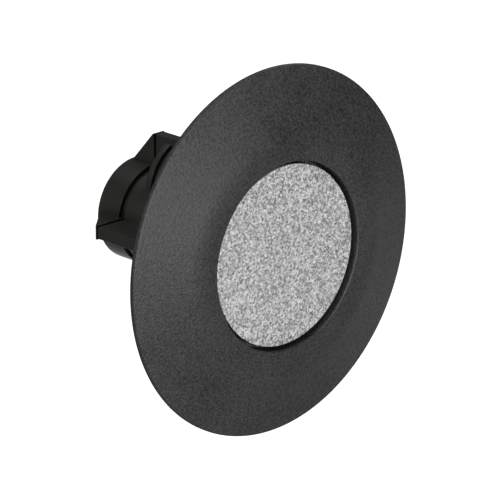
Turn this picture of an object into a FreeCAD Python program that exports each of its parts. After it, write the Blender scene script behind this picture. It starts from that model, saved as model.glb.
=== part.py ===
import FreeCAD, Part
import math
import os
import re
import Sketcher
from FreeCAD import Rotation, Vector

# Flush-mounted security tag detacher: a dished round flange with a sprung magnetic press face,
# and a winged body behind it that drops through a round cut-out in a counter.
# The axis of the object is Y. Y = 0 is the back of the flange, where it lies on the counter,
# the front faces -Y, the body reaches back along +Y, and +Z is up. Millimetres and degrees.

drivingSizes = {
    # flange
    "flangeRadius": 47.5,
    "rimThickness": 1.1,
    "crestHeight": 6.6,        # front of the crest, ahead of the counter
    "crestWidth": 5.4,         # flat crest, from the face opening to the cone
    "crestBlend": 22,
    "shellWall": 1.7,
    "faceOpening": 24.3,       # radius of the hole that shows the press face
    "cupWall": 1.8,
    "floorThickness": 1.6,
    "lipRound": 0.45,
    "rimRound": 0.6,
    "rimLand": 3.8,            # flat seat of the rim on the counter
    "ribThickness": 1.4,
    "ribSetback": 0.9,
    "ribCount": 8,
    # gasket
    "gasketThickness": 0.8,
    "gasketWidth": 5,
    "gasketGap": 0.3,
    # hub, tube and wings
    "hubRadius": 21.7,
    "hubDepth": 20,
    "hubWall": 2.1,
    "guideWall": 3,            # web between the hub and the tube
    "guideWallStep": 0.5,      # how far the web stands into the tube
    "tubeRadius": 13.4,
    "tubeWall": 2,
    "tubeEnd": 38.8,
    "wingInset": 0.05,         # wing tips inside the hub's outline
    "wingThickness": 3.1,
    "wingOverhang": 0.9,       # wings run on past the end of the tube
    "wingCount": 4,
    "edgeRound": 0.6,
    # rear cap
    "slotWidth": 2.2,          # open ring between the tube and the cap
    "slotDepth": 1.2,
    "overallDepth": 48.9,
    "capFloor": 2.2,
    "spigotWall": 1.3,
    "spigotLength": 2.8,
    "spigotClearance": 0.1,
    "gussetThickness": 3.8,
    "gussetLand": 0.5,
    "gussetGap": 0.3,
    "gussetRoot": 0.6,         # how far wings and gussets are rooted in the walls
    "capRound": 0.5,
    # screws
    "flangeScrewInset": 3.7,   # screw axis inside the hub's outline
    "flangeBossRadius": 2.2,
    "flangeBossDepth": 12,
    "capScrewInset": 2.2,      # screw axis inside the tube's bore
    "capPostRadius": 2.4,
    "capColumnRadius": 2,
    "pilotDepth": 10,
    "capScrewLength": 16,
    "flangeScrewLength": 9.5,
    "screwCount": 4,
    "shankRadius": 1.25,
    "pilotRadius": 1.05,
    "holeClearance": 0.15,
    "sunkHeadRadius": 2,
    "capHeadRadius": 2.3,
    "capHeadHeight": 1.6,
    "capHeadSink": 2,
    "driveSocket": 0.75,
    "driveDepth": 0.8,
    # press face
    "faceGap": 1,              # open ring round the press face
    "faceThickness": 0.8,
    "adhesiveThickness": 0.2,
    "adhesiveInset": 0.7,
    "carrierThickness": 1.2,
    "pressTravel": 1.2,        # room behind the carrier, less pressGap
    "pressGap": 0.3,
    "skirtWall": 1.15,
    "skirtDepth": 7.1,
    "skirtGap": 0.4,
    # magnet
    "yokeWall": 2,
    "yokeLength": 16,
    "yokeFloor": 3,
    "coreRadius": 5.5,
    "spacerRadius": 8,
    "magnetGap": 0.05,
    # stem, bush and spring
    "stemRadius": 3,
    "stemSpigot": 2,
    "stemTail": 17.3,          # stem behind its collar, inside the spring
    "runningClearance": 0.05,
    "bushRadius": 4,
    "bushFlange": 5.5,
    "bushFlangeThickness": 1,
    "stopWasherThickness": 1,
    "stopGap": 0.2,
    "collarRadius": 6.3,
    "collarThickness": 1.5,
    "seatThickness": 0.8,
    "seatClearance": 0.5,
    "springRadius": 4.7,
    "wireRadius": 0.45,
    "springTurns": 8,
    # retaining arms
    "armCount": 2,
    "armDepth": 29.5,          # front of the arms, a counter's thickness behind the flange
    "armWidth": 1.9,
    "armThickness": 1.3,
    "armLineRadius": 12.6,     # middle line of the arm, about a centre of its own
    "armCatch": 1.1,           # how far the free end stands out past the hub
    "armTipAngle": 15.5,       # from the middle of the nearest wing
    "armRootAngle": 62,
    "knuckleRadius": 1.5,
    "knuckleClearance": 0.08,
    "armSideGap": 0.3,
}

doc = FreeCAD.newDocument("TagDetacher")
sheet = doc.addObject("Spreadsheet::Sheet", "Sizes")
for row, (name, value) in enumerate(drivingSizes.items(), start=1):
    sheet.set("A%d" % row, name)
    sheet.set("B%d" % row, str(value))
    sheet.setAlias("B%d" % row, name)
doc.recompute()

subParts = []


def size(name):
    return float(sheet.get(name))


def bound(text):
    """A formula written in plain size names, with each name tied to its cell."""
    return re.sub(r"[A-Za-z]\w*", lambda m: "Sizes." + m[0] if m[0] in drivingSizes else m[0], text)


def newBody(label):
    body = doc.addObject("PartDesign::Body", label)
    body.Label = label
    subParts.append(body)
    return body


def originFeature(body, role):
    return [item for item in body.Origin.OriginFeatures if item.Role == role][0]


def newSketch(body, name, role, offset=None):
    """A sketch on one of the body's own planes, moved along that plane's normal by offset."""
    sketch = body.newObject("Sketcher::SketchObject", body.Label + "_" + name)
    sketch.AttachmentSupport = (originFeature(body, role), [""])
    sketch.MapMode = "FlatFace"
    if offset:
        sketch.setExpression("AttachmentOffset.Base.z", bound(offset))
    return sketch


def place(sketch, geometry, point, start, xText, yText):
    """Hold one point of a sketch at (xText, yText), both formulas in size names."""
    for kind, axis, now, text in (("DistanceX", -2, start.x, xText), ("DistanceY", -1, start.y, yText)):
        if text == "0":
            sketch.addConstraint(Sketcher.Constraint("PointOnObject", geometry, point, axis))
        else:
            held = sketch.addConstraint(Sketcher.Constraint(kind, geometry, point, now))
            sketch.setExpression("Constraints[%d]" % held, bound(text))


def drawOutline(sketch, corners):
    """A closed outline of straight lines through the corners, each an (x, y) pair of formulas."""
    count = len(corners)
    turns = [2 * math.pi * index / count for index in range(count)]
    start = [Vector(30 + 9 * math.cos(turn), 9 * math.sin(turn), 0) for turn in turns]
    for index in range(count):
        sketch.addGeometry(Part.LineSegment(start[index], start[(index + 1) % count]), False)
    for index in range(count):
        following = (index + 1) % count
        sketch.addConstraint(Sketcher.Constraint("Coincident", index, 2, following, 1))
    for index, (xText, yText) in enumerate(corners):
        place(sketch, index, 1, start[index], xText, yText)


def drawCircles(sketch, circles):
    """Round outlines, each an (x, y, radius) triple of formulas."""
    for index, (xText, yText, radiusText) in enumerate(circles):
        centre = Vector(20 + 9 * index, 10, 0)
        sketch.addGeometry(Part.Circle(centre, Vector(0, 0, 1), 2), False)
        place(sketch, index, 3, centre, xText, yText)
        held = sketch.addConstraint(Sketcher.Constraint("Radius", index, 2.0))
        sketch.setExpression("Constraints[%d]" % held, bound(radiusText))


def turn(body, name, corners, angle="360"):
    """Solid of revolution about the Y axis; corners are (radius, y)."""
    sketch = newSketch(body, name + "_section", "XY_Plane")
    drawOutline(sketch, corners)
    feature = body.newObject("PartDesign::Revolution", body.Label + "_" + name)
    feature.Profile = sketch
    feature.ReferenceAxis = (sketch, ["V_Axis"])
    feature.setExpression("Angle", bound(angle))
    doc.recompute()
    return feature


def addPlate(body, name, corners, thickness):
    """Flat web that stands out from the axis; corners are (radius, y)."""
    sketch = newSketch(body, name + "_outline", "XY_Plane")
    drawOutline(sketch, corners)
    feature = body.newObject("PartDesign::Pad", body.Label + "_" + name)
    feature.Profile = sketch
    feature.SideType = "Symmetric"
    feature.setExpression("Length", bound(thickness))
    doc.recompute()
    return feature


def addBars(body, name, circles, depth, length):
    """Round bars along +Y that start at depth; circles are (x, z, radius)."""
    sketch = newSketch(body, name + "_rounds", "XZ_Plane", "-(%s)" % depth)
    drawCircles(sketch, circles)
    feature = body.newObject("PartDesign::Pad", body.Label + "_" + name)
    feature.Profile = sketch
    feature.Reversed = True
    feature.setExpression("Length", bound(length))
    doc.recompute()
    return feature


def cutBores(body, name, circles, depth, length):
    """Round holes along +Y that start at depth; circles are (x, z, radius)."""
    before = body.Shape.Volume
    sketch = newSketch(body, name + "_rounds", "XZ_Plane", "-(%s)" % depth)
    drawCircles(sketch, circles)
    feature = body.newObject("PartDesign::Pocket", body.Label + "_" + name)
    feature.Profile = sketch
    feature.setExpression("Length", bound(length))
    doc.recompute()
    if not feature.Shape.Volume < before - 0.01:
        raise RuntimeError(feature.Label + " removes nothing")
    return feature


def aroundAxis(body, feature, count):
    """Repeat a feature evenly round the Y axis."""
    pattern = body.newObject("PartDesign::PolarPattern", feature.Label + "_pattern")
    pattern.Originals = [feature]
    pattern.Axis = (originFeature(body, "Y_Axis"), [""])
    pattern.Angle = 360
    pattern.setExpression("Occurrences", bound(count))
    body.Tip = pattern
    doc.recompute()
    return pattern


def onDiagonal(circle):
    """The (x, z) of a point on a circle about the axis, half-way between two wings."""
    return "%s * cos(45)" % circle, "%s * sin(45)" % circle


def moveToCircle(item, circle, index, depth):
    """Put an object on a circle about the axis, at one of the screw places."""
    angle = "(45 + 360 / screwCount * %d)" % index
    item.setExpression("Placement.Base.x", bound("%s * cos%s" % (circle, angle)))
    item.setExpression("Placement.Base.y", bound(depth))
    item.setExpression("Placement.Base.z", bound("%s * sin%s" % (circle, angle)))


def roundEdges(body, name, radius, places):
    """Fillet the full circles about the Y axis at the given (radius, y) places."""
    base = body.Tip
    picked = []
    for index, edge in enumerate(base.Shape.Edges, start=1):
        curve = edge.Curve
        if not isinstance(curve, Part.Circle) or math.hypot(curve.Center.x, curve.Center.z) > 0.001:
            continue
        if any(abs(curve.Radius - r) < 0.01 and abs(curve.Center.y - y) < 0.01 for r, y in places):
            picked.append("Edge%d" % index)
    if len(picked) < len(places):
        raise RuntimeError("%s finds %d of %d edges" % (name, len(picked), len(places)))
    feature = body.newObject("PartDesign::Fillet", body.Label + "_" + name)
    feature.Base = (base, picked)
    feature.setExpression("Radius", bound(radius))
    doc.recompute()
    return feature


# Radii and lines that several pieces share, worked out from the driving sizes.
crestRadius = "(faceOpening + crestWidth)"
cupOutside = "(faceOpening + cupWall)"
gasketOutside = "(flangeRadius - rimLand - gasketGap)"
gasketInside = "(flangeRadius - rimLand - gasketGap - gasketWidth)"
footInside = "(flangeRadius - rimLand - 2 * gasketGap - gasketWidth)"
wingRadius = "(hubRadius - wingInset)"
tubeBore = "(tubeRadius - tubeWall)"
spigotRadius = "(tubeRadius - tubeWall - spigotClearance)"
flangeScrewCircle = "(hubRadius - flangeScrewInset)"
capScrewCircle = "(tubeRadius - tubeWall - capScrewInset)"
passage = "(%s - flangeBossRadius - magnetGap)" % flangeScrewCircle
skirtOutside = "(%s - skirtGap)" % passage
skirtInside = "(%s - skirtWall)" % skirtOutside
yokeRadius = "(%s - magnetGap)" % skirtInside
faceRadius = "(faceOpening - faceGap)"

# Lines across the axis, front to back.
carrierBack = "(-floorThickness - pressTravel - pressGap)"
carrierFront = "(%s - carrierThickness)" % carrierBack
faceBack = "(%s - adhesiveThickness)" % carrierFront
faceFront = "(%s - faceThickness)" % faceBack
yokeBack = "(%s + yokeLength)" % carrierBack
magnetBack = "(%s - yokeFloor)" % yokeBack
guideFront = "(hubDepth + guideWallStep - guideWall)"
guideBack = "(hubDepth + guideWallStep)"
bushBack = "(%s + bushFlangeThickness)" % guideBack
stopFront = "(%s + stopGap)" % bushBack
stopBack = "(%s + stopWasherThickness)" % stopFront
collarBack = "(%s + collarThickness)" % stopBack
wingEnd = "(tubeEnd + wingOverhang)"
gussetFront = "(%s + gussetGap)" % wingEnd
capFront = "(tubeEnd + slotWidth)"
capInside = "(overallDepth - capFloor)"
seatFront = "(%s - seatThickness)" % capInside
spigotFront = "(tubeEnd - spigotLength)"


def makeFlange():
    """Dished cover with a rounded lip, a cup for the press face and ribs behind."""
    body = newBody("flange")
    slope = "(crestHeight - rimThickness) / (flangeRadius - %s)" % crestRadius
    coneAtFoot = "-rimThickness - (flangeRadius - %s) * %s + shellWall" % (footInside, slope)
    turn(body, "shell", [
        ("flangeRadius", "0"),
        ("flangeRadius", "-rimThickness"),
        (crestRadius, "-crestHeight"),
        ("faceOpening", "-crestHeight"),
        ("faceOpening", "-floorThickness"),
        (passage, "-floorThickness"),
        (passage, "0"),
        (cupOutside, "0"),
        (cupOutside, "-crestHeight + shellWall"),
        (crestRadius, "-crestHeight + shellWall"),
        (footInside, coneAtFoot),
        (footInside, "-gasketThickness"),
        ("flangeRadius - rimLand", "-gasketThickness"),
        ("flangeRadius - rimLand", "0"),
    ])
    crest = -size("crestHeight")
    roundEdges(body, "crest_blend", "crestBlend", [(size("faceOpening") + size("crestWidth"), crest)])
    roundEdges(body, "lip_round", "lipRound", [(size("faceOpening"), crest)])
    roundEdges(body, "rim_round", "rimRound", [(size("flangeRadius"), -size("rimThickness"))])
    rib = addPlate(body, "rib", [
        ("faceOpening + cupWall / 2", "-ribSetback"),
        (footInside + " + gussetRoot", "-ribSetback"),
        (footInside + " + gussetRoot", coneAtFoot + " - shellWall / 3"),
        (crestRadius, "-crestHeight + shellWall / 2"),
        ("faceOpening + cupWall / 2", "-crestHeight + shellWall / 2"),
    ], "ribThickness")
    aroundAxis(body, rib, "ribCount")
    holeRadius = "shankRadius + holeClearance"
    hole = cutBores(body, "screw_hole", [(*onDiagonal(flangeScrewCircle), holeRadius)],
                    "-floorThickness", "floorThickness")
    aroundAxis(body, hole, "screwCount")
    # Countersinks: shallow cones that open at the floor, one by one.
    for index in range(int(size("screwCount"))):
        sink = body.newObject("PartDesign::SubtractiveCone", "flange_countersink_%d" % (index + 1))
        sink.setExpression("Radius1", bound("sunkHeadRadius + holeClearance"))
        sink.setExpression("Radius2", bound("shankRadius + holeClearance"))
        sink.setExpression("Height", bound("sunkHeadRadius - shankRadius"))
        sink.Placement.Rotation = Rotation(Vector(1, 0, 0), -90)
        moveToCircle(sink, flangeScrewCircle, index, "-floorThickness")
    doc.recompute()


def makeBossBody():
    """Hub that fills the cut-out, tube behind it, and four wings."""
    body = newBody("boss_body")
    turn(body, "shell", [
        ("hubRadius", "0"),
        ("hubRadius", "hubDepth"),
        ("tubeRadius", "hubDepth"),
        ("tubeRadius", "tubeEnd"),
        (tubeBore, "tubeEnd"),
        (tubeBore, guideBack),
        ("bushRadius", guideBack),
        ("bushRadius", guideFront),
        ("hubRadius - hubWall", guideFront),
        ("hubRadius - hubWall", "0"),
    ])
    roundEdges(body, "hub_round", "edgeRound", [(size("hubRadius"), size("hubDepth"))])
    wing = addPlate(body, "wing", [
        ("tubeRadius - gussetRoot", "hubDepth - edgeRound"),
        (wingRadius, "hubDepth - edgeRound"),
        (wingRadius, wingEnd),
        ("tubeRadius - gussetRoot", wingEnd),
    ], "wingThickness")
    aroundAxis(body, wing, "wingCount")
    diagonal = onDiagonal(flangeScrewCircle)
    boss = addBars(body, "screw_boss", [(*diagonal, "flangeBossRadius")], "0", "flangeBossDepth")
    aroundAxis(body, boss, "screwCount")
    pilot = cutBores(body, "boss_pilot", [(*diagonal, "pilotRadius")], "0", "flangeScrewLength")
    aroundAxis(body, pilot, "screwCount")
    diagonal = onDiagonal(capScrewCircle)
    postStart = "(%s - guideWallStep)" % guideBack
    postLength = "%s - %s" % (spigotFront, postStart)
    post = addBars(body, "cap_post", [(*diagonal, "capPostRadius")], postStart, postLength)
    aroundAxis(body, post, "screwCount")
    pilot = cutBores(body, "post_pilot", [(*diagonal, "pilotRadius")],
                     "%s - pilotDepth" % spigotFront, "pilotDepth")
    aroundAxis(body, pilot, "screwCount")
    # Round sockets in the tube wall, one at the root of each arm.
    socket = cutBores(body, "arm_socket", [(
        "-tubeRadius * sin(armRootAngle)",
        "tubeRadius * cos(armRootAngle)",
        "knuckleRadius + knuckleClearance",
    )], "armDepth - armSideGap", "armWidth + 2 * armSideGap")
    aroundAxis(body, socket, "armCount")


def makeRearCap():
    """Closed end of the tube, spigoted into it, with four sloping gussets in line with the wings."""
    body = newBody("rear_cap")
    turn(body, "shell", [
        ("0", "overallDepth"),
        ("tubeRadius", "overallDepth"),
        ("tubeRadius", capFront),
        ("tubeRadius - slotDepth", capFront),
        ("tubeRadius - slotDepth", "tubeEnd"),
        (spigotRadius, "tubeEnd"),
        (spigotRadius, spigotFront),
        (spigotRadius + " - spigotWall", spigotFront),
        (spigotRadius + " - spigotWall", capInside),
        ("0", capInside),
    ])
    roundEdges(body, "end_round", "capRound", [(size("tubeRadius"), size("overallDepth"))])
    gusset = addPlate(body, "gusset", [
        ("tubeRadius - gussetRoot", gussetFront),
        (wingRadius, gussetFront),
        (wingRadius, gussetFront + " + gussetLand"),
        ("tubeRadius - gussetRoot", "overallDepth - capRound"),
    ], "gussetThickness")
    aroundAxis(body, gusset, "wingCount")
    diagonal = onDiagonal(capScrewCircle)
    columnLength = "%s + capFloor / 4 - %s" % (capInside, spigotFront)
    column = addBars(body, "column", [(*diagonal, "capColumnRadius")], spigotFront, columnLength)
    aroundAxis(body, column, "screwCount")
    hole = cutBores(body, "screw_hole", [(*diagonal, "shankRadius + holeClearance")],
                    spigotFront, "overallDepth - %s" % spigotFront)
    aroundAxis(body, hole, "screwCount")
    sink = cutBores(body, "head_sink", [(*diagonal, "capHeadRadius + holeClearance")],
                    "overallDepth - capHeadSink", "capHeadSink")
    aroundAxis(body, sink, "screwCount")


def makeHousingRings():
    """Gasket, guide bush and spring seat: plain turned rings of the fixed body."""
    turn(newBody("panel_gasket"), "ring", [
        (gasketInside, "-gasketThickness"),
        (gasketOutside, "-gasketThickness"),
        (gasketOutside, "0"),
        (gasketInside, "0"),
    ])
    turn(newBody("guide_bush"), "sleeve", [
        ("stemRadius + runningClearance", guideFront),
        ("bushRadius", guideFront),
        ("bushRadius", guideBack),
        ("bushFlange", guideBack),
        ("bushFlange", bushBack),
        ("stemRadius + runningClearance", bushBack),
    ])
    turn(newBody("spring_seat"), "ring", [
        ("stemRadius + seatClearance", seatFront),
        ("springRadius + wireRadius + seatClearance", seatFront),
        ("springRadius + wireRadius + seatClearance", capInside),
        ("stemRadius + seatClearance", capInside),
    ])


def makeFlangeScrew(index):
    """Countersunk screw that holds the flange to the hub, head in the flange's floor."""
    body = newBody("flange_screw_%d" % (index + 1))
    head = "sunkHeadRadius - shankRadius"
    turn(body, "blank", [
        ("0", "0"),
        ("sunkHeadRadius", "0"),
        ("shankRadius", head),
        ("pilotRadius", "floorThickness - 2 * holeClearance"),
        ("pilotRadius", "flangeScrewLength - pilotRadius"),
        ("0", "flangeScrewLength"),
    ])
    cutBores(body, "drive", [("0", "0", "driveSocket")], "0", "driveDepth")
    moveToCircle(body, flangeScrewCircle, index, "-floorThickness + holeClearance")


def makeCapScrew(index):
    """Cheese-head screw that holds the rear cap, driven from behind."""
    body = newBody("cap_screw_%d" % (index + 1))
    turn(body, "blank", [
        ("0", "-capScrewLength"),
        ("pilotRadius", "-capScrewLength + pilotRadius"),
        ("pilotRadius", "0"),
        ("capHeadRadius", "0"),
        ("capHeadRadius", "capHeadHeight"),
        ("0", "capHeadHeight"),
    ])
    cutBores(body, "drive", [("0", "0", "driveSocket")], "capHeadHeight - driveDepth", "driveDepth")
    moveToCircle(body, capScrewCircle, index, "overallDepth - capHeadSink")


def makePressFace():
    """Sprung face: plate, adhesive, carrier, pot magnet, stem and stop washer."""
    plate = newBody("face_plate")
    turn(plate, "disc", [
        ("0", faceFront),
        (faceRadius, faceFront),
        (faceRadius, faceBack),
        ("0", faceBack),
    ])
    turn(newBody("adhesive_disc"), "disc", [
        ("0", faceBack),
        (faceRadius + " - adhesiveInset", faceBack),
        (faceRadius + " - adhesiveInset", carrierFront),
        ("0", carrierFront),
    ])
    turn(newBody("carrier"), "disc", [
        ("0", carrierFront),
        (faceRadius, carrierFront),
        (faceRadius, carrierBack),
        (skirtOutside, carrierBack),
        (skirtOutside, carrierBack + " + skirtDepth"),
        (skirtInside, carrierBack + " + skirtDepth"),
        (skirtInside, carrierBack),
        ("0", carrierBack),
    ])
    turn(newBody("yoke_cup"), "cup", [
        ("stemSpigot", yokeBack),
        (yokeRadius, yokeBack),
        (yokeRadius, carrierBack),
        (yokeRadius + " - yokeWall", carrierBack),
        (yokeRadius + " - yokeWall", magnetBack),
        ("stemSpigot", magnetBack),
    ])
    turn(newBody("ring_magnet"), "ring", [
        ("spacerRadius + magnetGap", carrierBack),
        (yokeRadius + " - yokeWall - magnetGap", carrierBack),
        (yokeRadius + " - yokeWall - magnetGap", magnetBack),
        ("spacerRadius + magnetGap", magnetBack),
    ])
    turn(newBody("magnet_spacer"), "ring", [
        ("coreRadius + magnetGap", carrierBack),
        ("spacerRadius", carrierBack),
        ("spacerRadius", magnetBack),
        ("coreRadius + magnetGap", magnetBack),
    ])
    turn(newBody("core_magnet"), "plug", [
        ("0", carrierBack),
        ("coreRadius", carrierBack),
        ("coreRadius", magnetBack),
        ("0", magnetBack),
    ])
    turn(newBody("guide_stem"), "rod", [
        ("0", magnetBack),
        ("stemSpigot", magnetBack),
        ("stemSpigot", yokeBack),
        ("stemRadius", yokeBack),
        ("stemRadius", stopBack),
        ("collarRadius", stopBack),
        ("collarRadius", collarBack),
        ("stemRadius", collarBack),
        ("stemRadius", collarBack + " + stemTail - edgeRound"),
        ("stemRadius - edgeRound", collarBack + " + stemTail"),
        ("0", collarBack + " + stemTail"),
    ])
    turn(newBody("stop_washer"), "ring", [
        ("stemRadius + runningClearance", stopFront),
        ("collarRadius", stopFront),
        ("collarRadius", stopBack),
        ("stemRadius + runningClearance", stopBack),
    ])


def makeReturnSpring():
    """Round-wire compression spring between the stem's collar and the seat in the cap."""
    body = newBody("return_spring")
    sketch = newSketch(body, "wire", "XY_Plane")
    drawCircles(sketch, [("springRadius", collarBack + " + wireRadius", "wireRadius")])
    coil = body.newObject("PartDesign::AdditiveHelix", "return_spring_coil")
    coil.Profile = sketch
    coil.ReferenceAxis = (sketch, ["V_Axis"])
    coil.Mode = "height-turns-angle"
    coil.setExpression("Height", bound("%s - %s - 2 * wireRadius" % (seatFront, collarBack)))
    coil.setExpression("Turns", bound("springTurns"))
    doc.recompute()


def makeRetainingArm(index):
    """Curved snap arm: rooted in the tube wall, its free end springs out past the edge of the cut-out.

    The arm is drawn about the centre of its own arc, with its root on the local +X side.
    """
    body = newBody("retaining_arm_%d" % (index + 1))
    tipRadius = "(hubRadius + armCatch - armThickness / 2)"
    between = "(armRootAngle - armTipAngle)"
    chord = "sqrt(tubeRadius ^ 2 + {0} ^ 2 - 2 * tubeRadius * {0} * cos{1})".format(tipRadius, between)
    span = "(2 * asin(%s / (2 * armLineRadius)))" % chord
    turn(body, "strip", [
        ("armLineRadius - armThickness / 2", "-armWidth / 2"),
        ("armLineRadius + armThickness / 2", "-armWidth / 2"),
        ("armLineRadius + armThickness / 2", "armWidth / 2"),
        ("armLineRadius - armThickness / 2", "armWidth / 2"),
    ], span)
    addBars(body, "ends", [
        ("armLineRadius", "0", "knuckleRadius"),
        ("armLineRadius * cos" + span, "-armLineRadius * sin" + span, "armThickness / 2"),
    ], "-armWidth / 2", "armWidth")
    # Turn and move it so that its root lies on the tube and its free end on the tip's circle.
    across = "tubeRadius * sin(armRootAngle) - {0} * sin(armTipAngle)".format(tipRadius)
    up = "{0} * cos(armTipAngle) - tubeRadius * cos(armRootAngle)".format(tipRadius)
    around = "(360 deg / armCount * %d)" % index
    facing = "(180 deg + atan2(%s; %s) - %s / 2 + %s)" % (across, up, span, around)
    root = "(1 deg * armRootAngle - %s)" % around
    body.Placement.Rotation = Rotation(Vector(0, 1, 0), 1)
    body.setExpression("Placement.Rotation.Angle", bound(facing))
    body.setExpression("Placement.Base.x", bound(
        "-tubeRadius * sin%s - armLineRadius * cos%s" % (root, facing)))
    body.setExpression("Placement.Base.y", bound("armDepth + armWidth / 2"))
    body.setExpression("Placement.Base.z", bound(
        "tubeRadius * cos%s + armLineRadius * sin%s" % (root, facing)))


makeFlange()
makeBossBody()
makeRearCap()
makeHousingRings()
for number in range(int(size("screwCount"))):
    makeFlangeScrew(number)
    makeCapScrew(number)
makePressFace()
makeReturnSpring()
for number in range(int(size("armCount"))):
    makeRetainingArm(number)
doc.recompute()

failed = [item.Label for item in doc.Objects if {"Invalid", "Error"} & set(item.State)]
if failed:
    raise RuntimeError("failed objects: " + ", ".join(failed))
for part in subParts:
    if part.Shape.isNull() or not part.Shape.isValid() or len(part.Shape.Solids) != 1:
        raise RuntimeError(part.Label + " is not one valid solid")

os.makedirs("parts", exist_ok=True)
for part in subParts:
    part.Shape.exportStep("parts/%s.step" % part.Label)
    print("%-18s %9.2f mm3" % (part.Label, part.Shape.Volume))
print("%d sub-parts" % len(subParts))
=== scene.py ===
import bpy
import math
from mathutils import Matrix, Vector


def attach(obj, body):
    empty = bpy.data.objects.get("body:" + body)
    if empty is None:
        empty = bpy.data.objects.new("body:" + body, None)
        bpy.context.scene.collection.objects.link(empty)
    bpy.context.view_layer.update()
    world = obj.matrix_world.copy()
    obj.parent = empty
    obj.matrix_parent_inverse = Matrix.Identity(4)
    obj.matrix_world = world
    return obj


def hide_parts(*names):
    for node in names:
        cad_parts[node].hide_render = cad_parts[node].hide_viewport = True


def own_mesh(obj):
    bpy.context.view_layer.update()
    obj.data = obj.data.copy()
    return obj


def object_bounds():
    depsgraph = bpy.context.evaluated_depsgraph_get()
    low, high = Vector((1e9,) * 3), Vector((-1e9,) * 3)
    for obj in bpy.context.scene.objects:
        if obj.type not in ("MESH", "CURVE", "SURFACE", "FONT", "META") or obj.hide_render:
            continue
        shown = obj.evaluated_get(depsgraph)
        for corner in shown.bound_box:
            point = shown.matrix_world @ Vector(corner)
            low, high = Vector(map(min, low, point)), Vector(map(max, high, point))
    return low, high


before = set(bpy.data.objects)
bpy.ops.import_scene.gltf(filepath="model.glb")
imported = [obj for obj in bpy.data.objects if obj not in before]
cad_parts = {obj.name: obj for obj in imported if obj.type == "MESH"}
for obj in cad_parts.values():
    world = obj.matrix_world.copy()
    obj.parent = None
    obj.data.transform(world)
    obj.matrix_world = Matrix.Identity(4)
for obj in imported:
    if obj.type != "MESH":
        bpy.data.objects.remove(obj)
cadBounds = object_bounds()
mm = 0.001
mergeDistance = 1e-7

# Sizes are in mm, on the model's own axes: Y is the axis of the object and the front looks along -Y.

# what several pieces share: hub, tube and wings, and the circles that the screws stand on
shared = {
    "hub": 21.7, "hubDepth": 20, "tube": 13.4, "tubeEnd": 38.8, "wingTip": 21.65, "wings": 4, "rooted": 0.6,
    "flangeScrews": 18, "capScrews": 9.2, "screws": 4, "firstScrew": 45,
}


def makeActive(piece):
    bpy.ops.object.select_all(action="DESELECT")
    piece.select_set(True)
    bpy.context.view_layer.objects.active = piece


def roundCorners(corners, closed, segments):
    # corners are (x, y, rounding); each rounding becomes an arc
    points = []
    for index, (x, y, rounding) in enumerate(corners):
        here = Vector((x, y))
        if not rounding:
            points.append(here)
            continue
        before = (Vector(corners[index - 1][:2]) - here).normalized()
        after = (Vector(corners[(index + 1) % len(corners)][:2]) - here).normalized()
        half = before.angle(after) / 2
        reach = rounding / math.tan(half)
        middle = here + (before + after).normalized() * rounding / math.sin(half)
        start = here + before * reach - middle
        end = here + after * reach - middle
        points += [middle + start.slerp(end, step / segments) * rounding for step in range(segments + 1)]
    return points + points[:1] if closed else points


def drawLine(name, points):
    # a single vertex, extruded from point to point in the XY plane; stays in edit mode
    bpy.ops.object.select_all(action="DESELECT")
    bpy.ops.mesh.primitive_plane_add(size=mm)
    piece = bpy.context.object
    piece.name = name
    bpy.ops.object.mode_set(mode="EDIT")
    bpy.ops.mesh.merge(type="CENTER")
    bpy.ops.transform.translate(value=(points[0][0] * mm, points[0][1] * mm, 0))
    for last, point in zip(points, points[1:]):
        move = ((point[0] - last[0]) * mm, (point[1] - last[1]) * mm, 0)
        bpy.ops.mesh.extrude_region_move(TRANSFORM_OT_translate={"value": move})
    bpy.ops.mesh.select_all(action="SELECT")
    bpy.ops.mesh.remove_doubles(threshold=mergeDistance)
    return piece


def finishMesh(piece, angle=35):
    makeActive(piece)
    bpy.ops.object.mode_set(mode="EDIT")
    bpy.ops.mesh.select_all(action="SELECT")
    bpy.ops.mesh.remove_doubles(threshold=mergeDistance)
    bpy.ops.mesh.normals_make_consistent(inside=False)
    bpy.ops.object.mode_set(mode="OBJECT")
    bpy.ops.object.shade_smooth_by_angle(angle=math.radians(angle))
    return piece


def turnPiece(name, corners, closed=True, steps=128, segments=5):
    # solid of revolution about the Y axis; an open outline starts and ends on the axis
    piece = drawLine(name, roundCorners(corners, closed, segments))
    bpy.ops.mesh.spin(steps=steps, angle=2 * math.pi, center=(0, 0, 0), axis=(0, 1, 0))
    bpy.ops.object.mode_set(mode="OBJECT")
    return finishMesh(piece)


def platePiece(name, points, thickness, bevel):
    # flat plate with softened edges, drawn in the XY plane and centred on it
    piece = drawLine(name, points + points[:1])
    bpy.ops.transform.translate(value=(0, 0, -thickness / 2 * mm))
    bpy.ops.mesh.edge_face_add()
    bpy.ops.mesh.extrude_region_move(TRANSFORM_OT_translate={"value": (0, 0, thickness * mm)})
    bpy.ops.object.mode_set(mode="OBJECT")
    makeActive(piece)
    modifier = piece.modifiers.new("softEdges", "BEVEL")
    modifier.width = bevel * mm
    modifier.segments = 3
    modifier.limit_method = "ANGLE"
    bpy.ops.object.modifier_apply(modifier=modifier.name)
    return finishMesh(piece)


def roundBar(name, radius, front, back, x=0, z=0, bevel=0.0, sides=40):
    # bar along Y
    bpy.ops.object.select_all(action="DESELECT")
    bpy.ops.mesh.primitive_cylinder_add(vertices=sides, radius=radius * mm, depth=(back - front) * mm)
    piece = bpy.context.object
    piece.name = name
    piece.data.transform(Matrix.Translation((x * mm, (front + back) / 2 * mm, z * mm))
                         @ Matrix.Rotation(math.radians(90), 4, "X"))
    if bevel:
        modifier = piece.modifiers.new("softEdges", "BEVEL")
        modifier.width = bevel * mm
        modifier.segments = 3
        bpy.ops.object.modifier_apply(modifier=modifier.name)
    return finishMesh(piece)


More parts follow.
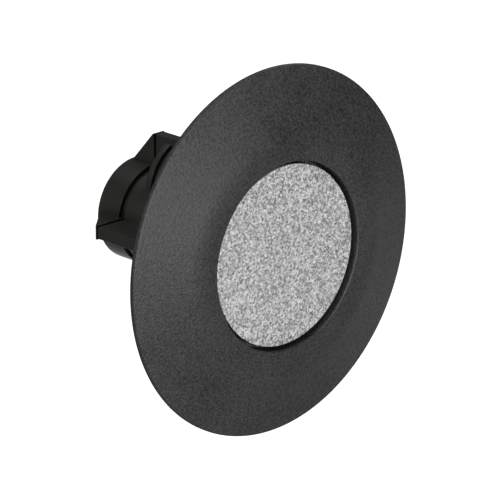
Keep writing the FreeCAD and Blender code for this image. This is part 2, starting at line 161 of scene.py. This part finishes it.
def around(piece, count, first=0.0):
    # copies evenly round the Y axis, from +X towards +Z, each with its own mesh
    copies = []
    for index in range(count):
        copy = bpy.data.objects.new("%s%d" % (piece.name, index + 1), piece.data.copy())
        bpy.context.collection.objects.link(copy)
        copy.data.transform(Matrix.Rotation(-math.radians(first + 360 / count * index), 4, "Y"))
        copies.append(copy)
    bpy.data.objects.remove(piece)
    return copies


def atScrews(piece):
    return around(piece, shared["screws"], shared["firstScrew"])


def combine(base, tools, operation="UNION"):
    makeActive(tools[0])
    for tool in tools:
        tool.select_set(True)
    if len(tools) > 1:
        bpy.ops.object.join()
    makeActive(base)
    modifier = base.modifiers.new("combine", "BOOLEAN")
    modifier.operation = operation
    modifier.solver = "EXACT"
    modifier.object = tools[0]
    bpy.ops.object.modifier_apply(modifier=modifier.name)
    bpy.data.objects.remove(tools[0])
    return finishMesh(base)


def hand(piece, body, slot, *nodes):
    # even out the shading, then give the piece its finish and its body, and hide the CAD nodes that it
    # stands for
    makeActive(piece)
    modifier = piece.modifiers.new("evenShading", "WEIGHTED_NORMAL")
    modifier.keep_sharp = True
    bpy.ops.object.modifier_apply(modifier=modifier.name)
    piece.data.materials.clear()
    piece.data.materials.append(finishes[slot])
    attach(piece, body)
    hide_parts(*nodes)
    print("made", piece.name, len(piece.data.polygons), "faces")


# finishes


def startMaterial(name):
    material = bpy.data.materials.new(name)
    material.use_nodes = True
    tree = material.node_tree
    where = tree.nodes.new("ShaderNodeTexCoord").outputs["Object"]
    return material, tree, tree.nodes["Principled BSDF"], where


def addNoise(tree, where, scale, detail=2, rough=0.5):
    node = tree.nodes.new("ShaderNodeTexNoise")
    node.inputs["Scale"].default_value = scale
    node.inputs["Detail"].default_value = detail
    node.inputs["Roughness"].default_value = rough
    tree.links.new(where, node.inputs["Vector"])
    return node.outputs["Fac"]


def addCells(tree, where, scale):
    # cells with a random colour each; returns its three channels
    node = tree.nodes.new("ShaderNodeTexVoronoi")
    node.inputs["Scale"].default_value = scale
    tree.links.new(where, node.inputs["Vector"])
    split = tree.nodes.new("ShaderNodeSeparateColor")
    tree.links.new(node.outputs["Color"], split.inputs[0])
    return split.outputs


def addRamp(tree, value, *stops):
    # stops are (position, grey or colour)
    node = tree.nodes.new("ShaderNodeValToRGB")
    elements = node.color_ramp.elements
    while len(elements) < len(stops):
        elements.new(0.5)
    for element, (position, colour) in zip(elements, stops):
        element.position = position
        element.color = (*colour, 1) if isinstance(colour, tuple) else (colour, colour, colour, 1)
    tree.links.new(value, node.inputs["Fac"])
    return node.outputs["Color"]


def addMix(tree, first, second, share):
    # share of the second, the rest of the first
    node = tree.nodes.new("ShaderNodeMix")
    node.inputs["Factor"].default_value = share
    tree.links.new(first, node.inputs["A"])
    tree.links.new(second, node.inputs["B"])
    return node.outputs["Result"]


def addBump(tree, shader, height, strength, depth):
    node = tree.nodes.new("ShaderNodeBump")
    node.inputs["Strength"].default_value = strength
    node.inputs["Distance"].default_value = depth * mm
    tree.links.new(height, node.inputs["Height"])
    tree.links.new(node.outputs["Normal"], shader.inputs["Normal"])


sparkGrain = {
    "dark": (0.006, 0.006, 0.0062), "light": (0.038, 0.038, 0.039),
    "grain": 1700, "pits": 3900, "pitShare": 0.35, "smudge": 45, "smudgeShare": 0.15, "wornShare": 0.5,
    "shadeFrom": 0.41, "shadeTo": 0.6, "wornFrom": 0.3, "wornTo": 0.7,
    "gloss": 0.5, "roughLow": 0.44, "roughHigh": 0.62, "bump": 1.0, "depth": 0.16,
}


def makeSparkGrain():
    # black plastic off a spark-eroded tool: soft pits of about half a millimetre
    s = sparkGrain
    material, tree, shader, where = startMaterial("texturedBlackPlastic")
    grain = addNoise(tree, where, s["grain"], 3, 0.55)
    pits = addNoise(tree, where, s["pits"], 2)
    smudge = addNoise(tree, where, s["smudge"], 3, 0.6)
    height = addMix(tree, grain, pits, s["pitShare"])
    shade = addMix(tree, height, smudge, s["smudgeShare"])
    colour = addRamp(tree, shade, (s["shadeFrom"], s["dark"]), (s["shadeTo"], s["light"]))
    tree.links.new(colour, shader.inputs["Base Color"])
    worn = addMix(tree, grain, smudge, s["wornShare"])
    rough = addRamp(tree, worn, (s["wornFrom"], s["roughLow"]), (s["wornTo"], s["roughHigh"]))
    tree.links.new(rough, shader.inputs["Roughness"])
    shader.inputs["Specular IOR Level"].default_value = s["gloss"]
    addBump(tree, shader, height, s["bump"], s["depth"])
    return material


satinMould = {
    "dark": (0.021, 0.0201, 0.0187), "light": (0.031, 0.0295, 0.0272),
    "flow": 120, "skin": 2600, "flowFrom": 0.3, "shadeTo": 0.7, "roughTo": 0.75,
    "gloss": 0.35, "roughLow": 0.36, "roughHigh": 0.5, "bump": 0.25, "depth": 0.02,
}


def makeSatinMould(name):
    # plain moulded black nylon, slightly uneven from the flow of the melt
    s = satinMould
    material, tree, shader, where = startMaterial(name)
    flow = addNoise(tree, where, s["flow"], 4, 0.6)
    skin = addNoise(tree, where, s["skin"], 2)
    colour = addRamp(tree, flow, (s["flowFrom"], s["dark"]), (s["shadeTo"], s["light"]))
    tree.links.new(colour, shader.inputs["Base Color"])
    rough = addRamp(tree, flow, (s["flowFrom"], s["roughLow"]), (s["roughTo"], s["roughHigh"]))
    tree.links.new(rough, shader.inputs["Roughness"])
    shader.inputs["Specular IOR Level"].default_value = s["gloss"]
    addBump(tree, shader, skin, s["bump"], s["depth"])
    return material


sparkle = {
    "dark": 0.16, "mid": 0.46, "light": 0.82, "darkAt": 0.15, "midAt": 0.5, "lightAt": 0.85,
    "flake": 1900, "smallFlake": 3700, "smallShare": 0.45, "smallRelief": 0.5,
    "metallic": 0.5, "roughLow": 0.4, "roughHigh": 0.6, "bump": 0.7, "depth": 0.06,
}


def makeSparkle():
    # silver lacquer with coarse metal flake, each flake at its own brightness, height and gloss
    s = sparkle
    material, tree, shader, where = startMaterial("silverFlake")
    large = addCells(tree, where, s["flake"])
    small = addCells(tree, where, s["smallFlake"])
    shade = addMix(tree, large[0], small[0], s["smallShare"])
    stops = [(s[tone + "At"], s[tone]) for tone in ("dark", "mid", "light")]
    colour = addRamp(tree, shade, *stops)
    tree.links.new(colour, shader.inputs["Base Color"])
    rough = addRamp(tree, large[1], (0.0, s["roughLow"]), (1.0, s["roughHigh"]))
    tree.links.new(rough, shader.inputs["Roughness"])
    shader.inputs["Metallic"].default_value = s["metallic"]
    addBump(tree, shader, addMix(tree, large[2], small[2], s["smallRelief"]), s["bump"], s["depth"])
    return material


# metals: darker and lighter colour, smoothest and roughest, tool lines to the metre
metals = {
    "bush_bronze": ((0.36, 0.22, 0.09), (0.60, 0.40, 0.17), 0.35, 0.55, 900),
    "plated_yoke": ((0.44, 0.44, 0.42), (0.62, 0.62, 0.60), 0.28, 0.42, 700),
    "plated_magnet": ((0.60, 0.58, 0.54), (0.74, 0.72, 0.68), 0.12, 0.24, 300),
    "spacer_alloy": ((0.62, 0.63, 0.64), (0.80, 0.80, 0.81), 0.30, 0.40, 1500),
    "stem_steel": ((0.45, 0.45, 0.45), (0.63, 0.63, 0.62), 0.20, 0.34, 1300),
    "spring_wire": ((0.30, 0.30, 0.30), (0.50, 0.50, 0.49), 0.25, 0.40, 1100),
    "zinc_screw": ((0.50, 0.50, 0.47), (0.68, 0.68, 0.64), 0.25, 0.40, 800),
}

metalWear = {
    "wander": 1.5, "wanderDetail": 2, "stain": 90, "stainFrom": 0.3, "shadeTo": 0.7, "roughTo": 0.75,
    "bump": 0.3, "depth": 0.01,
}


def makeMetal(name, dark, light, smoothest, roughest, lines):
    s = metalWear
    material, tree, shader, where = startMaterial(name)
    turned = tree.nodes.new("ShaderNodeTexWave")
    turned.bands_direction = "Y"
    turned.inputs["Scale"].default_value = lines
    turned.inputs["Distortion"].default_value = s["wander"]
    turned.inputs["Detail"].default_value = s["wanderDetail"]
    tree.links.new(where, turned.inputs["Vector"])
    stain = addNoise(tree, where, s["stain"], 4, 0.6)
    colour = addRamp(tree, stain, (s["stainFrom"], dark), (s["shadeTo"], light))
    tree.links.new(colour, shader.inputs["Base Color"])
    rough = addRamp(tree, stain, (s["stainFrom"], smoothest), (s["roughTo"], roughest))
    tree.links.new(rough, shader.inputs["Roughness"])
    shader.inputs["Metallic"].default_value = 1
    addBump(tree, shader, turned.outputs["Fac"], s["bump"], s["depth"])
    return material


# soft finishes: darker and lighter colour, roughness, specks to the metre
softs = {
    "gasket_rubber": ((0.018, 0.018, 0.019), (0.045, 0.045, 0.047), 0.85, 1500),
    "stop_rubber": ((0.010, 0.010, 0.010), (0.028, 0.028, 0.028), 0.65, 2400),
    "adhesive_film": ((0.60, 0.58, 0.52), (0.78, 0.76, 0.70), 0.45, 700),
}

softSkin = {"shadeFrom": 0.35, "shadeTo": 0.65, "bump": 0.5, "depth": 0.04}


def makeSoft(name, dark, light, rough, specks):
    s = softSkin
    material, tree, shader, where = startMaterial(name)
    speck = addNoise(tree, where, specks, 3, 0.6)
    colour = addRamp(tree, speck, (s["shadeFrom"], dark), (s["shadeTo"], light))
    tree.links.new(colour, shader.inputs["Base Color"])
    shader.inputs["Roughness"].default_value = rough
    addBump(tree, shader, speck, s["bump"], s["depth"])
    return material


finishes = {
    "textured_black": makeSparkGrain(),
    "moulded_black": makeSatinMould("mouldedBlackPlastic"),
    "carrier_black": makeSatinMould("carrierBlackPlastic"),
    "sparkle_silver": makeSparkle(),
}
finishes.update({slot: makeMetal(slot, *values) for slot, values in metals.items()})
finishes.update({slot: makeSoft(slot, *values) for slot, values in softs.items()})
print("finishes made")

# camera, floor and light

viewpoint = {"azimuth": -44.2, "elevation": 18.9, "distance": 1.1875, "lens": 344.7,
             "aimLeft": 5.01, "aimUp": 0.12, "clipStart": 0.05, "clipEnd": 60}


def directionAxes(azimuth, elevation):
    # unit vectors of a camera that looks at the origin: right, up, and back towards the camera
    turn, lift = math.radians(azimuth), math.radians(elevation)
    back = Vector((math.sin(turn) * math.cos(lift), -math.cos(turn) * math.cos(lift), math.sin(lift)))
    right = Vector((math.cos(turn), math.sin(turn), 0))
    return right, back.cross(right), back


def placeCamera():
    v = viewpoint
    right, up, back = directionAxes(v["azimuth"], v["elevation"])
    data = bpy.data.cameras.new("studioCamera")
    data.lens = v["lens"]
    data.clip_start = v["clipStart"]
    data.clip_end = v["clipEnd"]
    camera = bpy.data.objects.new("studioCamera", data)
    bpy.context.scene.collection.objects.link(camera)
    camera.matrix_world = Matrix((right, up, back)).transposed().to_4x4()
    camera.location = up * v["aimUp"] * mm - right * v["aimLeft"] * mm + back * v["distance"]
    bpy.context.scene.camera = camera


studio = {
    "floorDrop": 100, "floorSize": 14, "floorShade": 0.35, "floorRough": 0.9, "sky": 0.09,
    # a pool of light painted on the floor as a glow from its own material, behind the object: its middle,
    # radius, soft edge and both glow strengths
    "pool": {"x": 0.34, "y": 0.34, "radius": 0.30, "edge": 0.08, "inside": 1.0, "outside": 0.02},
    # name: azimuth and elevation as seen from the object, distance, width, watts
    "lights": {
        "keySoftbox": (-14, 8, 1.3, 0.30, 17.5),
        "topSoftbox": (-150, 72, 1.2, 0.70, 4.5),
        "sideStrip": (-116, 20, 1.3, 0.40, 1.4),
        "edgeStrip": (-84, 24, 1.3, 0.22, 2),
        "backStrip": (104, 42, 1.3, 0.35, 3),
    },
}


def placeStudio():
    s = studio
    bpy.ops.object.select_all(action="DESELECT")
    height = cadBounds[0][2] - s["floorDrop"] * mm
    bpy.ops.mesh.primitive_plane_add(size=s["floorSize"], location=(0, 0, height))
    floor = bpy.context.object
    floor.name = "studioFloor"
    material, tree, shader, where = startMaterial("paleFloorPaintedGlow")
    shader.inputs["Base Color"].default_value = (s["floorShade"], s["floorShade"], s["floorShade"], 1)
    shader.inputs["Roughness"].default_value = s["floorRough"]
    # painted light: the floor's material glows in a soft pool behind the object, and faintly everywhere
    # else
    shader.inputs["Emission Color"].default_value = (1, 1, 1, 1)
    pool = s["pool"]
    away = tree.nodes.new("ShaderNodeVectorMath")
    away.operation = "DISTANCE"
    away.inputs[1].default_value = (pool["x"], pool["y"], 0)
    tree.links.new(where, away.inputs[0])
    paintedGlow = tree.nodes.new("ShaderNodeMapRange")
    paintedGlow.interpolation_type = "SMOOTHSTEP"
    paintedGlow.inputs["From Min"].default_value = pool["radius"]
    paintedGlow.inputs["From Max"].default_value = pool["radius"] + pool["edge"]
    paintedGlow.inputs["To Min"].default_value = pool["inside"]
    paintedGlow.inputs["To Max"].default_value = pool["outside"]
    tree.links.new(away.outputs["Value"], paintedGlow.inputs["Value"])
    tree.links.new(paintedGlow.outputs["Result"], shader.inputs["Emission Strength"])
    floor.data.materials.append(material)
    world = bpy.data.worlds.new("studioSky")
    world.use_nodes = True
    world.node_tree.nodes["Background"].inputs["Color"].default_value = (1, 1, 1, 1)
    world.node_tree.nodes["Background"].inputs["Strength"].default_value = s["sky"]
    bpy.context.scene.world = world
    for name, (azimuth, elevation, distance, width, watts) in s["lights"].items():
        data = bpy.data.lights.new(name, "AREA")
        data.shape = "DISK"
        data.size = width
        data.energy = watts
        lamp = bpy.data.objects.new(name, data)
        bpy.context.scene.collection.objects.link(lamp)
        right, up, back = directionAxes(azimuth, elevation)
        lamp.matrix_world = Matrix((right, up, back)).transposed().to_4x4()
        lamp.location = back * distance
    bpy.context.scene.view_settings.view_transform = "Standard"


placeCamera()
placeStudio()
print("camera, floor and light placed")

# flange

flangeShape = {
    "rim": 47.5, "rimThickness": 1.1, "crest": 6.6, "opening": 24.3, "crestWidth": 5.4, "blend": 22,
    "wall": 1.7, "cupWall": 1.8, "floor": 1.6, "passage": 15.75, "lip": 0.45, "rimRound": 0.6,
    "rimLand": 3.8, "footWidth": 5.6, "footDepth": 0.8,
    "ribs": 8, "ribThickness": 1.4, "ribSetback": 0.9, "ribEdge": 0.15, "ribIn": 0.6, "ribOut": 0.5,
    "screwHole": 1.4, "sink": 2.15, "sinkRise": 0.4, "holeEnd": 0.5, "holeSteps": 32,
    "steps": 216, "segments": 7,
}


def makeFlange():
    s = flangeShape
    corner = s["opening"] + s["crestWidth"]
    slope = (s["crest"] - s["rimThickness"]) / (s["rim"] - corner)
    foot = s["rim"] - s["rimLand"] - s["footWidth"]
    coneAtFoot = -s["rimThickness"] - (s["rim"] - foot) * slope + s["wall"]
    crestInside = s["wall"] - s["crest"]
    cup = s["opening"] + s["cupWall"]
    flange = turnPiece("flangeCover", [
        (s["rim"], 0, 0.15),
        (s["rim"], -s["rimThickness"], s["rimRound"]),
        (corner, -s["crest"], s["blend"]),
        (s["opening"], -s["crest"], s["lip"]),
        (s["opening"], -s["floor"], 0.2),
        (s["passage"], -s["floor"], 0.1),
        (s["passage"], 0, 0.1),
        (cup, 0, 0.15),
        (cup, crestInside, 0.5),
        (corner, crestInside, 12),
        (foot, coneAtFoot, 0.3),
        (foot, -s["footDepth"], 0.1),
        (s["rim"] - s["rimLand"], -s["footDepth"], 0.1),
        (s["rim"] - s["rimLand"], 0, 0.1),
    ], steps=s["steps"], segments=s["segments"])
    rib = platePiece("rib", [
        (cup - s["ribIn"], -s["ribSetback"]),
        (foot + s["ribOut"], -s["ribSetback"]),
        (foot + s["ribOut"], coneAtFoot - s["ribIn"]),
        (corner, crestInside - s["ribIn"]),
        (cup - s["ribIn"], crestInside - s["ribIn"]),
    ], s["ribThickness"], s["ribEdge"])
    combine(flange, around(rib, s["ribs"]))
    sinkDepth = s["sink"] - s["screwHole"]
    hole = turnPiece("hole", [
        (0, -s["floor"] - s["sinkRise"], 0), (s["sink"] + s["sinkRise"], -s["floor"] - s["sinkRise"], 0),
        (s["screwHole"], sinkDepth - s["floor"], 0), (s["screwHole"], s["holeEnd"], 0),
        (0, s["holeEnd"], 0),
    ], closed=False, steps=s["holeSteps"])
    hole.data.transform(Matrix.Translation((shared["flangeScrews"] * mm, 0, 0)))
    combine(flange, atScrews(hole), "DIFFERENCE")
    hand(flange, "housing", "textured_black", "flange")


makeFlange()

# press face

faceShape = {"radius": 23.3, "front": -5.3, "back": -4.5, "edge": 0.12, "ring": 0.3, "steps": 460,
             "flatness": 0.01, "relief": 0.035, "reliefSize": 0.45}


def makeFaceDisc():
    # the front is a fine mesh with the real unevenness of the flaked lacquer
    s = faceShape
    rings = int(s["radius"] / s["ring"])
    front = [(ring * s["ring"], s["front"], 0) for ring in range(rings)]
    disc = turnPiece("faceDisc", front + [
        (s["radius"], s["front"], s["edge"]), (s["radius"], s["back"], s["edge"]), (0, s["back"], 0),
    ], closed=False, steps=s["steps"])
    group = disc.vertex_groups.new(name="front")
    flat = [v.index for v in disc.data.vertices if v.co.y < (s["front"] + s["flatness"]) * mm
            and v.co.xz.length < (s["radius"] - s["ring"]) * mm]
    group.add(flat, 1, "REPLACE")
    lacquer = bpy.data.textures.new("lacquer", "CLOUDS")
    lacquer.noise_scale = s["reliefSize"] * mm
    lacquer.noise_depth = 1
    makeActive(disc)
    modifier = disc.modifiers.new("relief", "DISPLACE")
    modifier.texture = lacquer
    modifier.texture_coords = "LOCAL"
    modifier.vertex_group = "front"
    modifier.strength = s["relief"] * mm
    bpy.ops.object.modifier_apply(modifier=modifier.name)
    hand(disc, "press_head", "sparkle_silver", "face_plate")


makeFaceDisc()

# boss body

bossShape = {
    "hubWall": 2.1, "edge": 0.6, "bore": 11.4, "webFront": 17.5, "webBack": 20.5, "bushHole": 4,
    "wingThickness": 3.1, "wingEnd": 39.7, "wingEdge": 0.2,
    "screwBoss": 2.2, "screwBossFront": 0.1, "screwBossDepth": 12, "screwBossEdge": 0.3,
    "post": 2.4, "postFront": 20, "postEnd": 36, "postEdge": 0.2,
    "pilot": 1.05, "pilotSides": 24, "drillFront": -0.5, "drillBack": 9.5,
    "rearDrillFront": 26, "rearDrillBack": 37,
    "sockets": 2, "socketAngle": 62, "socket": 1.58, "socketFront": 29.2, "socketBack": 31.7,
}


def makeBossBody():
    s = bossShape
    hub, hubBack, tube, tubeEnd = shared["hub"], shared["hubDepth"], shared["tube"], shared["tubeEnd"]
    boss = turnPiece("bossBody", [
        (hub, 0, 0.15), (hub, hubBack, s["edge"]), (tube, hubBack, 0.5),
        (tube, tubeEnd, 0.15), (s["bore"], tubeEnd, 0.15), (s["bore"], s["webBack"], 0.3),
        (s["bushHole"], s["webBack"], 0.1), (s["bushHole"], s["webFront"], 0.1),
        (hub - s["hubWall"], s["webFront"], 0.5), (hub - s["hubWall"], 0, 0.15),
    ])
    root = tube - shared["rooted"]
    wing = platePiece("wing", [
        (root, hubBack - s["edge"]), (shared["wingTip"], hubBack - s["edge"]),
        (shared["wingTip"], s["wingEnd"]), (root, s["wingEnd"]),
    ], s["wingThickness"], s["wingEdge"])
    screwBoss = roundBar("screwBoss", s["screwBoss"], s["screwBossFront"], s["screwBossDepth"],
                         x=shared["flangeScrews"], bevel=s["screwBossEdge"])
    post = roundBar("post", s["post"], s["postFront"], s["postEnd"],
                    x=shared["capScrews"], bevel=s["postEdge"])
    combine(boss, around(wing, shared["wings"]))
    combine(boss, atScrews(screwBoss) + atScrews(post))
    drill = roundBar("drill", s["pilot"], s["drillFront"], s["drillBack"],
                     x=shared["flangeScrews"], sides=s["pilotSides"])
    rearDrill = roundBar("rearDrill", s["pilot"], s["rearDrillFront"], s["rearDrillBack"],
                         x=shared["capScrews"], sides=s["pilotSides"])
    socket = roundBar("socket", s["socket"], s["socketFront"], s["socketBack"], x=tube)
    combine(boss, atScrews(drill) + atScrews(rearDrill), "DIFFERENCE")
    combine(boss, around(socket, s["sockets"], 90 + s["socketAngle"]), "DIFFERENCE")
    hand(boss, "housing", "moulded_black", "boss_body")


makeBossBody()

# rear cap

capShape = {
    "front": 41, "back": 48.9, "edge": 0.4, "slot": 12.2,
    "spigot": 11.3, "bore": 10, "spigotFront": 36, "inside": 46.7,
    "gussetFront": 40, "gussetLand": 0.5, "gussetBack": 48.4, "gussetThickness": 3.8, "gussetEdge": 0.18,
    "column": 2, "columnFront": 36.1, "columnBack": 47.2,
    "screwHole": 1.4, "holeFront": 35, "holeBack": 47.4, "sink": 2.45, "sinkFront": 46.9, "sinkBack": 49.9,
    "steps": 132,
}


def makeRearCap():
    s = capShape
    ring, tubeEnd, circle = shared["tube"], shared["tubeEnd"], shared["capScrews"]
    cap = turnPiece("rearCap", [
        (0, s["back"], 0), (ring, s["back"], s["edge"]), (ring, s["front"], 0.15),
        (s["slot"], s["front"], 0.2), (s["slot"], tubeEnd, 0.1), (s["spigot"], tubeEnd, 0.1),
        (s["spigot"], s["spigotFront"], 0.3), (s["bore"], s["spigotFront"], 0.1),
        (s["bore"], s["inside"], 0.5), (0, s["inside"], 0),
    ], closed=False, steps=s["steps"])
    root = ring - shared["rooted"]
    gusset = platePiece("gusset", [
        (root, s["gussetFront"]), (shared["wingTip"], s["gussetFront"]),
        (shared["wingTip"], s["gussetFront"] + s["gussetLand"]), (root, s["gussetBack"]),
    ], s["gussetThickness"], s["gussetEdge"])
    column = roundBar("column", s["column"], s["columnFront"], s["columnBack"], x=circle)
    combine(cap, atScrews(column))
    hole = roundBar("hole", s["screwHole"], s["holeFront"], s["holeBack"], x=circle)
    sink = roundBar("sink", s["sink"], s["sinkFront"], s["sinkBack"], x=circle)
    combine(cap, atScrews(hole), "DIFFERENCE")
    combine(cap, atScrews(sink), "DIFFERENCE")
    # the gussets come last, so that the holes are cut in a plain turned piece
    combine(cap, around(gusset, shared["wings"]))
    hand(cap, "housing", "moulded_black", "rear_cap")


makeRearCap()

# retaining arms

armShape = {
    "count": 2, "rootAngle": 62, "tipRadius": 22.15, "tipAngle": 15.5, "line": 12.6,
    "thickness": 1.3, "width": 1.9, "front": 29.5, "knuckle": 1.5, "edge": 0.2, "steps": 28, "endSteps": 10,
}


def makeArms():
    s = armShape
    rootTurn, tipTurn = math.radians(s["rootAngle"]), math.radians(s["tipAngle"])
    root = Vector((-math.sin(rootTurn), math.cos(rootTurn))) * shared["tube"]
    tip = Vector((-math.sin(tipTurn), math.cos(tipTurn))) * s["tipRadius"]
    chord = tip - root
    inwards = Vector((chord.y, -chord.x)).normalized()
    middle = (root + tip) / 2 + inwards * math.sqrt(s["line"] ** 2 - (chord.length / 2) ** 2)
    half = s["thickness"] / 2
    sweep = [(root - middle).slerp(tip - middle, step / s["steps"]) for step in range(s["steps"] + 1)]
    outer = [middle + way * (s["line"] + half) for way in sweep]
    inner = [middle + way * (s["line"] - half) for way in reversed(sweep)]
    ahead = Vector((sweep[-1].y, -sweep[-1].x))
    end = [tip + (sweep[-1] * math.cos(turn) + ahead * math.sin(turn)) * half
           for turn in (math.pi * step / s["endSteps"] for step in range(1, s["endSteps"]))]
    arm = platePiece("retainingArm", outer + end + inner, s["width"], s["edge"])
    # stand the outline up in the XZ plane, at its depth along the axis
    depth = (s["front"] + s["width"] / 2) * mm
    arm.data.transform(Matrix.Translation((0, depth, 0)) @ Matrix.Rotation(math.radians(90), 4, "X"))
    knuckle = roundBar("knuckle", s["knuckle"], s["front"], s["front"] + s["width"], x=root.x, z=root.y,
                       bevel=s["edge"])
    combine(arm, [knuckle])
    for number, piece in enumerate(around(arm, s["count"]), start=1):
        hand(piece, "arm_%d" % number, "moulded_black", "retaining_arm_%d" % number)


makeArms()

# turned pieces: each point of a line is (radius, y, rounding)

turnedSteps = 96
turnedPieces = {
    "panelGasket": {
        "body": "housing", "slot": "gasket_rubber", "node": "panel_gasket", "closed": True,
        "line": [(38.4, -0.8, 0.1), (43.4, -0.8, 0.1), (43.4, 0, 0.25), (38.4, 0, 0.25)]},
    "guideBush": {
        "body": "housing", "slot": "bush_bronze", "node": "guide_bush", "closed": True,
        "line": [(3.05, 17.5, 0.25), (4, 17.5, 0.2), (4, 20.5, 0), (5.5, 20.5, 0.1), (5.5, 21.5, 0.25),
                 (3.05, 21.5, 0.25)]},
    "springSeat": {
        "body": "housing", "slot": "stem_steel", "node": "spring_seat", "closed": True,
        "line": [(3.5, 45.9, 0.15), (5.65, 45.9, 0.15), (5.65, 46.7, 0.15), (3.5, 46.7, 0.15)]},
    "adhesiveDisc": {
        "body": "press_head", "slot": "adhesive_film", "node": "adhesive_disc", "closed": False,
        "line": [(0, -4.5, 0), (22.6, -4.5, 0.04), (22.6, -4.3, 0.04), (0, -4.3, 0)]},
    "carrierPlate": {
        "body": "press_head", "slot": "carrier_black", "node": "carrier", "closed": False,
        "line": [(0, -4.3, 0), (23.3, -4.3, 0.2), (23.3, -3.1, 0.2), (15.35, -3.1, 0.3), (15.35, 4, 0.2),
                 (14.2, 4, 0.2), (14.2, -3.1, 0), (0, -3.1, 0)]},
    "yokeCup": {
        "body": "press_head", "slot": "plated_yoke", "node": "yoke_cup", "closed": True,
        "line": [(2, 12.9, 0.1), (14.15, 12.9, 1.2), (14.15, -3.1, 0.15), (12.15, -3.1, 0.15),
                 (12.15, 9.9, 0), (2, 9.9, 0)]},
    "ringMagnet": {
        "body": "press_head", "slot": "plated_magnet", "node": "ring_magnet", "closed": True,
        "line": [(8.05, -3.1, 0.35), (12.1, -3.1, 0.35), (12.1, 9.9, 0.35), (8.05, 9.9, 0.35)]},
    "magnetSpacer": {
        "body": "press_head", "slot": "spacer_alloy", "node": "magnet_spacer", "closed": True,
        "line": [(5.55, -3.1, 0.15), (8, -3.1, 0.15), (8, 9.9, 0.15), (5.55, 9.9, 0.15)]},
    "coreMagnet": {
        "body": "press_head", "slot": "plated_magnet", "node": "core_magnet", "closed": False,
        "line": [(0, -3.1, 0), (5.5, -3.1, 0.35), (5.5, 9.9, 0.35), (0, 9.9, 0)]},
    "guideStem": {
        "body": "press_head", "slot": "stem_steel", "node": "guide_stem", "closed": False,
        "line": [(0, 9.9, 0), (2, 9.9, 0.15), (2, 12.9, 0), (3, 12.9, 0), (3, 22.7, 0.1), (6.3, 22.7, 0.2),
                 (6.3, 24.2, 0.2), (3, 24.2, 0.15), (3, 40.9, 0.2), (2.4, 41.5, 0.2), (0, 41.5, 0)]},
    "stopWasher": {
        "body": "press_head", "slot": "stop_rubber", "node": "stop_washer", "closed": True,
        "line": [(3.05, 21.7, 0.3), (6.3, 21.7, 0.3), (6.3, 22.7, 0.1), (3.05, 22.7, 0.1)]},
}


def makeTurnedPieces():
    for name, s in turnedPieces.items():
        piece = turnPiece(name, s["line"], s["closed"], steps=turnedSteps)
        hand(piece, s["body"], s["slot"], s["node"])


makeTurnedPieces()

# return spring

springShape = {"radius": 4.7, "wire": 0.45, "front": 24.2, "back": 45.9, "pressed": 1.2,
               "activeTurns": 6, "deadTurns": 1.0, "deadPitch": 2.1, "pointsPerTurn": 32, "roundness": 4,
               "smoothAngle": 60}


def makeSpring():
    # closed ends: the last turn at each end all but touches its neighbour; deadPitch counts in wire radii
    s = springShape
    turns = s["activeTurns"] + 2 * s["deadTurns"]
    deadRise = s["deadTurns"] * s["deadPitch"] * s["wire"]
    length = s["back"] - s["front"] - 2 * s["wire"]
    count = int(turns * s["pointsPerTurn"])
    curve = bpy.data.curves.new("returnSpring", "CURVE")
    curve.dimensions = "3D"
    curve.bevel_depth = s["wire"] * mm
    curve.bevel_resolution = s["roundness"]
    curve.use_fill_caps = True
    line = curve.splines.new("POLY")
    line.points.add(count)
    for index, point in enumerate(line.points):
        turned = turns * index / count
        active = min(max(turned - s["deadTurns"], 0), s["activeTurns"])
        rise = (turned - active) / s["deadTurns"] * deadRise
        rise += active / s["activeTurns"] * (length - 2 * deadRise)
        angle = 2 * math.pi * turned
        point.co = (s["radius"] * math.cos(angle) * mm, (s["front"] + s["wire"] + rise) * mm,
                    s["radius"] * math.sin(angle) * mm, 1)
    spring = bpy.data.objects.new("returnSpring", curve)
    bpy.context.scene.collection.objects.link(spring)
    makeActive(spring)
    bpy.ops.object.convert(target="MESH")
    spring = finishMesh(bpy.context.object, s["smoothAngle"])
    hand(spring, "press_head", "spring_wire", "return_spring")
    length = s["back"] - s["front"]
    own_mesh(spring)


makeSpring()

# screws

screwShapes = {
    "flangeScrew": {
        "node": "flange_screw", "circle": shared["flangeScrews"], "place": -1.45, "backwards": False,
        "head": [(0, 0, 0), (2, 0, 0.06), (1.25, 0.75, 0)], "from": 1.4, "tip": 9.5},
    "capScrew": {
        "node": "cap_screw", "circle": shared["capScrews"], "place": 48.5, "backwards": True,
        "head": [(0, 0, 0), (2.3, 0, 0.3), (2.3, 1.6, 0.1)], "from": 1.6, "tip": 17.6},
}
thread = {"crest": 1.25, "root": 1.0, "pitch": 0.8, "taper": 1.2, "steps": 36,
          "key": 0.8, "keySides": 6, "keyFront": -0.5, "keyDepth": 0.8}


def makeScrews():
    # drawn head first along +Y from its own zero, then turned round where it points forwards
    for name, s in screwShapes.items():
        count = int((s["tip"] - s["from"] - thread["taper"]) / thread["pitch"])
        line = s["head"] + [(thread["root"], s["from"], 0)]
        for ring in range(count):
            start = s["from"] + ring * thread["pitch"]
            line.append((thread["crest"], start + thread["pitch"] / 2, 0))
            line.append((thread["root"], start + thread["pitch"], 0))
        screw = turnPiece(name, line + [(0, s["tip"], 0)], closed=False, steps=thread["steps"])
        key = roundBar("key", thread["key"], thread["keyFront"], thread["keyDepth"],
                       sides=thread["keySides"])
        combine(screw, [key], "DIFFERENCE")
        if s["backwards"]:
            screw.data.transform(Matrix.Rotation(math.pi, 4, "Z"))
        screw.data.transform(Matrix.Translation((s["circle"] * mm, s["place"] * mm, 0)))
        for number, piece in enumerate(atScrews(screw), start=1):
            hand(piece, "housing", "zinc_screw", "%s_%d" % (s["node"], number))


makeScrews()
